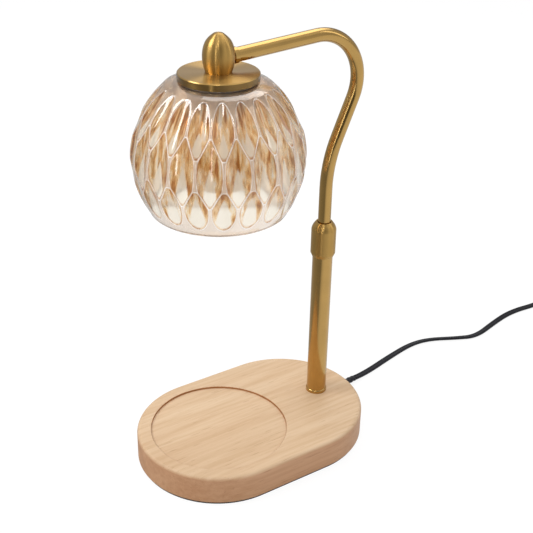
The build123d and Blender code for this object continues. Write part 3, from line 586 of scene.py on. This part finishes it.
black_flex = plain(
    "black_flex", (0.005, 0.005, 0.008), (0.010, 0.010, 0.015), 250.0, (0.26, 0.34), gloss=0.25
)
black_plastic = plain(
    "black_plastic", (0.014, 0.014, 0.015), (0.024, 0.024, 0.026), 1400.0, (0.42, 0.55), bump=0.2
)
blade_brass = plain(
    "blade_brass", (0.66, 0.52, 0.26), (0.74, 0.60, 0.32), 500.0, (0.2, 0.3), metallic=1.0
)

finishes = {
    wood: ["wood_base"],
    rubber_pad: ["base_pad"],
    cast_iron: ["counterweight"],
    brass_upright: ["column_foot", "column_tube"],
    brass_arm: ["arm_tube", "arm_ferrule"],
    brass_round: ["egg_joint", "collar_nut"],
    brass_disc: ["cap_disc", "shade_ring"],
    steel: [
        "weight_screws",
        "column_washer",
        "column_nut",
        "column_nipple",
        "head_nipple",
        "head_nut",
        "holder_bracket",
        "holder_screws",
        "bulb_pins",
        "dimmer_screws",
    ],
    cup_steel: ["socket_cup"],
    nylon: ["collet", "arm_guide", "arm_end_plug"],
    gasket_rubber: ["shade_gasket"],
    ceramic: ["lampholder", "bulb_base"],
    make_reflector(): ["bulb_reflector"],
    make_lens(): ["bulb_lens"],
    shade_glass: ["glass_shade"],
    black_flex: ["cord_gland", "cord_main", "cord_mid", "cord_coil", "cord_tail"],
    black_plastic: ["dimmer_lower", "dimmer_upper", "dimmer_wheel", "plug_body"],
    blade_brass: ["plug_blades"],
}
for finish, names in finishes.items():
    for name in names:
        slots = nodes[name].data.materials
        slots.clear()
        slots.append(finish)

# ---------- camera ----------
VIEW_AZIMUTH = math.radians(-34.373)
VIEW_ELEVATION = math.radians(28.274)
VIEW_ROLL = math.radians(1.198)
VIEW_DISTANCE = 0.77013
VIEW_TARGET = Vector((0.011766, 0.0, 0.157301))
VIEW_LENS = 68.585

right = Vector((math.cos(VIEW_AZIMUTH), math.sin(VIEW_AZIMUTH), 0))
back = Vector(
    (
        math.sin(VIEW_AZIMUTH) * math.cos(VIEW_ELEVATION),
        -math.cos(VIEW_AZIMUTH) * math.cos(VIEW_ELEVATION),
        math.sin(VIEW_ELEVATION),
    )
)
up = back.cross(right)
rolled_right = right * math.cos(VIEW_ROLL) + up * math.sin(VIEW_ROLL)
rolled_up = up * math.cos(VIEW_ROLL) - right * math.sin(VIEW_ROLL)
front = Vector((back.x, back.y, 0)).normalized()
camera_data = bpy.data.cameras.new("camera")
camera_data.lens = VIEW_LENS
camera_data.clip_start = 0.05
camera = link(bpy.data.objects.new("camera", camera_data))
turn = Matrix((rolled_right, rolled_up, back)).transposed().to_4x4()
camera.matrix_world = Matrix.Translation(VIEW_TARGET + back * VIEW_DISTANCE) @ turn
bpy.context.scene.camera = camera

# ---------- cords ----------
route_to_dimmer = [
    NOSE,
    (NOSE[0] + 10.2, NOSE[1] + 2.1, 5.0),
    (NOSE[0] + 23.0, NOSE[1] + 4.6, 3.0),
    (NOSE[0] + 40.0, NOSE[1] + 8.4, FLOOR_Z),
    (172.0, 30.1, FLOOR_Z),
    (203.5, 36.5, FLOOR_Z),
    (225.0, 34.1, FLOOR_Z),
    (250.0, 21.0, FLOOR_Z),
    (268.2, 13.6, FLOOR_Z),
    (300.0, 22.3, FLOOR_Z),
    (322.0, 27.2, FLOOR_Z),
    (340.0, 27.9, FLOOR_Z),
    (357.0, 26.0, FLOOR_Z),
    ahead(DIMMER_IN, -15.0),
    DIMMER_IN,
]

TURNS = 5 + 145 / 360
TURN_STEPS = 14
COIL_START = 55  # degrees, where the flex meets the coil
INNER_TURN, OUTER_TURN = 28.1, 33.9  # radii of the coil's two columns of turns
CHANGE_TURN = 3.05  # where the turns change from the inner column to the outer one
WANDER, WANDER_RATE = 0.25, 7.0  # how far a turn is out of true, and how fast that changes
LEAD_ROLL = 0.35  # radians at most


def ease(value):
    """A smooth rise from 0 to 1, and level outside."""
    value = max(0.0, min(1.0, value))
    return value * value * (3 - 2 * value)


def coil_route():
    """The turns, wound clockwise: up the inner column, then down the outer one."""
    route = []
    count = round(TURNS * TURN_STEPS)
    for i in range(1, count + 1):
        t = TURNS * i / count
        angle = math.radians(COIL_START - 360 * t)
        inward = COIL_RADIUS + (INNER_TURN - COIL_RADIUS) * ease(t / 0.25)
        outward = ease((t - CHANGE_TURN + 0.12) / 0.3)
        radius = inward + (OUTER_TURN - inward) * outward
        radius += WANDER * math.sin(WANDER_RATE * t)
        climb = t if t < CHANGE_TURN else 2 * CHANGE_TURN - t
        route.append(
            (
                COIL_CENTER[0] + radius * math.cos(angle),
                COIL_CENTER[1] + radius * math.sin(angle),
                FLOOR_Z + COIL_PITCH * climb,
            )
        )
    return route


turns = coil_route()
end = turns[-1]
route_to_plug = [
    DIMMER_OUT,
    ahead(DIMMER_OUT, 9.0),
    ahead(DIMMER_OUT, 20.0, z=FLOOR_Z + 0.5),
    ahead(DIMMER_OUT, 30.0, z=FLOOR_Z),
    *turns,
    (end[0] - 9.0, end[1] + 0.6, end[2] + 0.3),
    (PLUG_NECK[0] + 8.0, PLUG_NECK[1], PLUG_NECK[2]),
    PLUG_NECK,
]

flex = flex_section(FLEX_WIDTH, FLEX_THICKNESS)


def make_flex(name, route, twist):
    """A flat flex along a route, with its path and its length."""
    path = read_spline(name + "_line", route)
    rings, length = tube_rings(path, flex, twist)
    return mesh_piece(name, *rings_to_mesh(rings), "base", black_flex), path, length


def lead_twist(share):
    """How far the flat flex rolls, a little as it lies and not at its ends."""
    return LEAD_ROLL * math.sin(math.pi * share) * math.sin(9.0 * share + 0.6)


flex_to_dimmer, dimmer_path, dimmer_run = make_flex("flex_to_dimmer", route_to_dimmer, lead_twist)
flex_to_plug, plug_path, plug_run = make_flex("flex_to_plug", route_to_plug, lambda share: 0.0)
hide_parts("cord_main")
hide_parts("cord_mid", "cord_coil", "cord_tail")

TOUCH = 1e-9  # tolerance of a distance along a path
RIB_STEPS = 8  # rings to a rib
RIB_DEPTH = 0.13  # as a share of the sleeve's size
SLEEVE_END = (6.2, 3.6)  # width and height where the flex leaves a sleeve
DIMMER_SLEEVE = (8.4, 5.6)


def make_sleeve(name, path, start, ribs, flange=None):
    """A ribbed strain relief along a path, tapered from its (width, height) at the start.

    A flange (width, height, thickness) goes before the ribs.
    """
    section = rounded_rectangle(1.0, 1.0, 0.42)
    frames = frames_along(path)
    lengths = path_lengths(path)

    def ring_at(far, wide, high):
        """The section at a distance along the path."""
        i = max(k for k in range(len(lengths)) if lengths[k] <= far + TOUCH)
        i = min(i, len(path) - 2)
        share = (far - lengths[i]) / (lengths[i + 1] - lengths[i])
        place = path[i].lerp(path[i + 1], share)
        side, up = frames[i]
        return [tuple(place + side * (x * wide) + up * (y * high)) for x, y in section]

    rings = []
    first = 0.0
    if flange:
        wide, high, first = flange
        for far, size in ((0.0, 0.94), (0.15, 1.0), (0.85, 1.0), (1.0, 0.95)):
            rings.append(ring_at(first * far, wide * size, high * size))
    steps = ribs * RIB_STEPS
    for k in range(steps + 1):
        share = k / steps
        groove = 0.5 - 0.5 * math.cos(2 * math.pi * share * ribs)
        pinch = 1 - RIB_DEPTH * groove * (0.15 < share < 0.95)
        wide = (start[0] + (SLEEVE_END[0] - start[0]) * share) * pinch
        high = (start[1] + (SLEEVE_END[1] - start[1]) * share) * pinch
        rings.append(ring_at(first + (lengths[-1] - first) * share, wide, high))
    return mesh_piece(name, *rings_to_mesh(rings), "base", black_flex)


def along(path, length):
    """The first stretch of a path, cut to a length."""
    points, far = [path[0]], 0.0
    for a, b in zip(path, path[1:]):
        step = (b - a).length
        if far + step > length:
            points.append(a.lerp(b, (length - far) / step))
            break
        points.append(b)
        far += step
    return points


base_sleeve = make_sleeve(
    "base_sleeve", [Vector(EXIT)] + along(dimmer_path, 16.0), (7.4, 6.4), 5, flange=(10.0, 8.0, 1.2)
)
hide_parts("cord_gland")
dimmer_in_sleeve = make_sleeve("dimmer_in_sleeve", along(dimmer_path[::-1], 14.0), DIMMER_SLEEVE, 3)
dimmer_out_sleeve = make_sleeve("dimmer_out_sleeve", along(plug_path, 14.0), DIMMER_SLEEVE, 3)
plug_sleeve = make_sleeve("plug_sleeve", along(plug_path[::-1], 12.0), (7.6, 5.8), 3)

TIE_ANGLE = math.radians(160)
TIE_HEIGHT = 6.1  # the bundle's middle
TIE_HALF_WIDTH = 2.2


def make_tie():
    """A flat strap round the bundle of turns."""
    out = Vector((math.cos(TIE_ANGLE), math.sin(TIE_ANGLE), 0))
    tangent = Vector((-math.sin(TIE_ANGLE), math.cos(TIE_ANGLE), 0))
    middle = Vector((COIL_CENTER[0], COIL_CENTER[1], TIE_HEIGHT)) + out * COIL_RADIUS
    outer = rounded_rectangle(12.6, 12.2, 2.6, 6)
    inner = rounded_rectangle(11.8, 11.4, 2.2, 6)
    rings = []
    for line, way in ((inner, -1), (outer, -1), (outer, 1), (inner, 1)):
        shift = tangent * (way * TIE_HALF_WIDTH)
        rings.append([tuple(middle + out * x + UP * y + shift) for x, y in line])
    points, faces = rings_to_mesh(rings, closed=True)
    return mesh_piece("coil_tie", points, faces, "base", black_plastic, smooth=False)


coil_tie = make_tie()

# ---------- glass shade, in millimetres ----------
# the barrel's outline is part of a superellipse: its radius, middle, half height and power
GLASS_WIDEST, GLASS_WIDEST_Z, GLASS_HALF, GLASS_POWER = 61.3, 256.3, 66.5, 1.88
GLASS_BOTTOM, GLASS_SHOULDER, GLASS_TOP = 217.3, 307.7, 310.4
GLASS_WALL, CROWN_WALL, GLASS_NECK, GLASS_HOLE, GLASS_LIP = 6.0, 4.0, 27.0, 20.5, 1.8
GLASS_LOW = GLASS_BOTTOM + GLASS_LIP  # where the lip's round starts
LIP_STEPS = 8
HOLE_CHAMFER = 0.4
OUTLINE_SPACING, LINING_SPACING = 0.7, 1.6
FACETS = 20
FACET_STEPS = 30  # columns of the mesh to a facet
FACET_START = math.radians(-136.2)
# rows of facets: middle height, half length, share of a pitch that the row is turned, depth
FACET_ROWS = [(292.6, 20.3, 0.0, 2.6), (266.0, 24.5, 0.5, 3.0), (238.6, 17.2, 0.0, 2.2)]
FACET_WIDTH = 0.475  # half a facet's width, as a share of the pitch
FACET_REACH = 1.3  # how far from its middle a row counts, in half lengths
LIP_FADE, CROWN_FADE = 5, 8  # rings over which the facets die out
HOLLOW_DEPTH = 2.0  # a place this much deeper than its neighbour facet is well inside
SAME_DEPTH = 1e-6
RIDGE_SOFTNESS = 2.6
RIDGE_EXCESS = 0.12  # about what the soft maximum adds near a ridge
# the pale flame of painted light in each row's facets: lower end, upper end, half width, as shares
# of half a facet
PAINTED_FLAMES = [(-1.05, -0.05, 0.40), (-1.02, 0.16, 0.46), (-1.05, 0.62, 0.60)]
FLAME_EDGE = 0.09
COLUMNS = FACETS * FACET_STEPS


def barrel_line(high, steps, inset=0.0):
    """Points (r, z) of the barrel's outline, or of one inside it, from the lip up to a height."""
    line = []
    for k in range(steps + 1):
        z = GLASS_LOW + (high - GLASS_LOW) * k / steps
        share = abs((z - GLASS_WIDEST_Z) / (GLASS_HALF - inset))
        line.append(((GLASS_WIDEST - inset) * (1 - share**GLASS_POWER) ** (1 / GLASS_POWER), z))
    return line


def bezier(a, b, c, steps):
    """Points of a quadratic curve after its start."""
    made = []
    for k in range(1, steps + 1):
        t = k / steps
        made.append(
            tuple((1 - t) ** 2 * p + 2 * t * (1 - t) * q + t * t * r for p, q, r in zip(a, b, c))
        )
    return made


def outline_lengths(line):
    """How far along a line of (r, z) each of its points lies."""
    lengths = [0.0]
    for a, b in zip(line, line[1:]):
        lengths.append(lengths[-1] + math.dist(a, b))
    return lengths


def resampled(line, spacing):
    """Points at an even spacing along a line of (r, z)."""
    lengths = outline_lengths(line)
    count = max(2, round(lengths[-1] / spacing))
    result, k = [], 0
    for i in range(count + 1):
        far = lengths[-1] * i / count
        while k < len(lengths) - 2 and lengths[k + 1] < far:
            k += 1
        share = (far - lengths[k]) / (lengths[k + 1] - lengths[k])
        result.append(tuple(p + (q - p) * share for p, q in zip(line[k], line[k + 1])))
    return result


def outer_line():
    """The outside of the glass without its facets, from the lip to the crown."""
    line = barrel_line(GLASS_SHOULDER, 160)
    line += bezier(line[-1], (31.5, 310.3), (GLASS_NECK, GLASS_TOP), 12)
    return resampled(line, OUTLINE_SPACING)


def lining_line():
    """The inside of the glass, from the lip to the crown."""
    top = GLASS_TOP - CROWN_WALL
    line = barrel_line(GLASS_SHOULDER - CROWN_WALL, 80, GLASS_WALL)
    line += bezier(line[-1], (31.0, top), (GLASS_NECK, top), 8)
    return resampled(line, LINING_SPACING)


def lip_line(outer, inner):
    """The round of the lip, from the outside of the glass to the inside."""
    middle, half = (outer[0] + inner[0]) / 2, (outer[0] - inner[0]) / 2
    line = []
    for k in range(1, LIP_STEPS):
        a = math.pi * k / LIP_STEPS
        across = math.copysign(abs(math.cos(a)) ** 0.7, math.cos(a))
        line.append((middle - half * across, outer[1] - GLASS_LIP * math.sin(a) ** 0.7))
    return line


def soft_max(values):
    """The highest of some values, rounded where two are close."""
    top = max(values)
    total = sum(math.exp(RIDGE_SOFTNESS * (v - top)) for v in values)
    return top + math.log(total) / RIDGE_SOFTNESS


def facet_depth(depth, side, along_row):
    """How deep a facet cuts at a place in it."""
    return depth * (1 - (side / FACET_WIDTH) ** 2 - along_row**2)


def cut(rows, pitch, at):
    """How deep the facets cut at a share of the pitch and a place along the outline.

    Also how far inside a hollow the place is, and how amber it is there.
    """
    depths = [0.0]
    for middle, half, offset, depth in rows:
        along_row = (at - middle) / half
        if abs(along_row) < FACET_REACH:
            for shift in (0, 1):
                side = (pitch - offset) % 1.0 - shift
                depths.append(facet_depth(depth, side, along_row))
    ordered = sorted(depths)
    first = ordered[-1]
    second = ordered[-2] if len(ordered) > 1 else 0.0
    inside = min(1.0, max(0.0, first - max(second, 0.0)) / HOLLOW_DEPTH)
    return max(0.0, soft_max(depths) - RIDGE_EXCESS), inside, amber_and_painted_flame(rows, pitch, at, first)


def amber_and_painted_flame(rows, pitch, at, deepest):
    """How amber a hollow is: pale in a flame of painted light at its lower middle, warm towards its
    edges.
    """
    for (middle, half, offset, depth), (low, high, wide) in zip(rows, PAINTED_FLAMES):
        along_row = (at - middle) / half
        side = (pitch - offset + 0.5) % 1.0 - 0.5
        if abs(facet_depth(depth, side, along_row) - deepest) < SAME_DEPTH:
            share = (along_row - low) / (high - low)
            if not 0 < share < 1:
                return 1.0
            edge = wide * math.sin(math.pi * share**0.6) ** 0.8
            return ease((abs(side / FACET_WIDTH) - edge) / FLAME_EDGE + 0.5)
    return 0.5


def around_shade(k, radius, z):
    """A point at a column of the mesh."""
    angle = FACET_START + 2 * math.pi * k / COLUMNS
    return (HEAD_X + radius * math.cos(angle), radius * math.sin(angle), z)


def plain_rings(line):
    """A round ring at each point (r, z) of a line."""
    return [[around_shade(k, radius, z) for k in range(COLUMNS)] for radius, z in line]


def faceted_rings(line):
    """The outside's rings with the facets cut into them, and the hollow and amber of each point."""
    far = outline_lengths(line)

    def far_at(z):
        """How far along the outline a height lies."""
        for (_, low), (_, high), start, end in zip(line, line[1:], far, far[1:]):
            if low <= z <= high:
                return start + (end - start) * (z - low) / max(1e-6, high - low)
        return far[-1]

    rows = [(far_at(middle), half, offset, depth) for middle, half, offset, depth in FACET_ROWS]
    rings, hollows, ambers = [], [], []
    for i, (radius, z) in enumerate(line):
        a, b = line[max(i - 1, 0)], line[min(i + 1, len(line) - 1)]
        run = math.dist(a, b)
        normal = ((b[1] - a[1]) / run, -(b[0] - a[0]) / run)
        period = [cut(rows, k / FACET_STEPS, far[i]) for k in range(FACET_STEPS)]
        fade = ease((len(line) - 1 - i) / CROWN_FADE) * ease(i / LIP_FADE)
        ring = []
        for k in range(COLUMNS):
            deep, inside, amber = period[k % FACET_STEPS]
            deep *= fade
            ring.append(around_shade(k, radius - normal[0] * deep, z - normal[1] * deep))
            hollows.append(inside * fade)
            ambers.append(amber)
        rings.append(ring)
    return rings, hollows, ambers


def make_shade():
    """The pressed glass shade, with its inner side as a second material."""
    line, lining = outer_line(), lining_line()
    outer, hollows, ambers = faceted_rings(line)
    hole = [
        (GLASS_HOLE + HOLE_CHAMFER, GLASS_TOP),
        (GLASS_HOLE, GLASS_TOP - HOLE_CHAMFER),
        (GLASS_HOLE, GLASS_TOP - CROWN_WALL + HOLE_CHAMFER),
        (GLASS_HOLE + HOLE_CHAMFER, GLASS_TOP - CROWN_WALL),
    ]
    lip = lip_line(line[0], lining[0])
    points, faces = rings_to_mesh(outer + plain_rings(hole + lining[::-1] + lip), closed=True)
    shade = mesh_piece("cut_glass_shade", points, faces, "arm", shade_glass)
    shade.data.materials.append(lining_glass)
    first = (len(outer) + len(hole)) * COLUMNS
    last = first + (len(lining) - 1) * COLUMNS
    for polygon in shade.data.polygons:
        if first <= polygon.index < last:
            polygon.material_index = 1
    for label, values in (("hollow", hollows), ("amber", ambers)):
        layer = shade.data.attributes.new(label, "FLOAT", "POINT")
        layer.data.foreach_set("value", values + [0.0] * (len(points) - len(values)))
    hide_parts("glass_shade")


make_shade()

# ---------- floor, world and lamps ----------
# greys that gloss shows round the lamp: 0 and 1 behind it, 0.5 in front, 0.75 to the right
FLOOR_GLOSS = [
    (0.0, 0.50),
    (0.15, 0.32),
    (0.30, 0.22),
    (0.45, 0.17),
    (0.49, 0.19),
    (0.53, 0.66),
    (0.60, 0.88),
    (0.80, 0.95),
    (0.93, 0.72),
    (1.0, 0.50),
]
TENT_GLOSS = [
    (0.0, 0.66),
    (0.07, 0.36),
    (0.13, 0.62),
    (0.25, 0.46),
    (0.42, 0.42),
    (0.475, 0.36),
    (0.50, 0.10),
    (0.57, 0.10),
    (0.60, 0.42),
    (0.66, 0.90),
    (0.70, 0.50),
    (0.86, 0.50),
    (0.92, 0.28),
    (1.0, 0.66),
]
PALE = (0.82, 0.82, 0.82)
FLOOR_GLOW = 1.06
FLOOR_SHARE = 0.86  # of the glow in what the camera sees; the rest takes the lamp's shadow
FLOOR_SIZE = 6.0  # metres, half a side


def bearing(owner, source):
    """Where a direction or a place lies round the lamp, as the lists of greys have it."""
    across, near = (
        vector_maths(owner, "DOT_PRODUCT", source, axis, result="Value") for axis in (right, front)
    )
    angle = maths(owner, "ARCTAN2", across, near)
    return maths(owner, "MULTIPLY_ADD", angle, 0.5 / math.pi, 0.5)


def make_floor():
    """White to the camera and through glass, with the lamp's soft shadow; dimmer in bare gloss."""
    material = bpy.data.materials.new("floor_paper")
    material.use_nodes = True
    material.node_tree.nodes.clear()
    rays = node(material, "ShaderNodeLightPath").outputs
    place = node(material, "ShaderNodeTexCoord").outputs["Object"]
    bands = ramp(material, bearing(material, place), FLOOR_GLOSS)
    matt = node(material, "ShaderNodeBsdfDiffuse", Color=(*PALE, 1.0))
    glow = node(material, "ShaderNodeEmission", Color=(*WHITE, 1.0), Strength=FLOOR_GLOW)
    gloss = node(material, "ShaderNodeEmission", Color=bands, Strength=1.0)
    bare = maths(
        material, "SUBTRACT", rays["Is Glossy Ray"], rays["Transmission Depth"], clamp=True
    )
    seen = maths(material, "ADD", rays["Is Camera Ray"], rays["Is Glossy Ray"], clamp=True)
    seen = maths(material, "ADD", seen, rays["Is Transmission Ray"], clamp=True)
    share = maths(material, "MULTIPLY", seen, FLOOR_SHARE)
    surface = mixed(material, share, matt, mixed(material, bare, glow, gloss))
    node(material, "ShaderNodeOutputMaterial", Surface=surface.outputs[0])
    mesh = bpy.data.meshes.new("floor")
    corners = [(-1, -1), (1, -1), (1, 1), (-1, 1)]
    mesh.from_pydata([(x * FLOOR_SIZE, y * FLOOR_SIZE, 0) for x, y in corners], [], [(0, 1, 2, 3)])
    mesh.materials.append(material)
    link(bpy.data.objects.new("floor", mesh))


def make_world():
    """White to the camera and through glass; a tent, darker in bands round the lamp, for gloss."""
    world = bpy.data.worlds.new("studio")
    bpy.context.scene.world = world
    world.use_nodes = True
    world.node_tree.nodes.clear()
    rays = node(world, "ShaderNodeLightPath").outputs
    direction = node(world, "ShaderNodeTexCoord").outputs["Generated"]
    height = node(world, "ShaderNodeSeparateXYZ", Vector=direction).outputs["Z"]
    bands = ramp(world, bearing(world, direction), TENT_GLOSS)
    overhead = ramp(world, height, [(0.45, 0.0), (0.8, 1.0)])
    bands = blend_colours(world, overhead, bands, PALE)
    lift = ramp(world, height, [(0.0, 0.26), (0.9, 0.82)])
    white, tent, banded = (
        node(world, "ShaderNodeBackground", Color=colour) for colour in ((*WHITE, 1.0), lift, bands)
    )
    passed = maths(world, "GREATER_THAN", rays["Transmission Depth"], 0.5)
    seen = maths(world, "ADD", rays["Is Camera Ray"], passed, clamp=True)
    lit = mixed(world, rays["Is Glossy Ray"], tent, banded)
    surface = mixed(world, seen, lit, white)
    node(world, "ShaderNodeOutputWorld", Surface=surface.outputs[0])


def area_lamp(name, place, target, size, power):
    """A rectangular lamp that points at a target."""
    data = bpy.data.lights.new(name, "AREA")
    data.shape = "RECTANGLE"
    data.size, data.size_y = size
    data.energy = power
    lamp = link(bpy.data.objects.new(name, data))
    lamp.location = place
    lamp.rotation_euler = (Vector(target) - Vector(place)).to_track_quat("-Z", "Y").to_euler()


make_floor()
make_world()
area_lamp("key", (-0.75, 0.35, 1.0), (0, 0, 0.14), (0.5, 0.5), 6.0)
area_lamp("strip", (-0.95, -0.75, 0.55), (0, 0, 0.17), (0.10, 0.9), 1.3)
area_lamp("fill", (0.9, -0.5, 0.8), (0, 0, 0.15), (0.2, 0.8), 0.8)
area_lamp("top", (0.5, 0.4, 1.2), (0, 0, 0.1), (0.8, 0.8), 4.0)
area_lamp("crown", (-0.42, -0.56, 1.14), (-0.03, 0, 0.28), (0.2, 0.2), 1.2)

bpy.context.scene.view_settings.view_transform = "Standard"
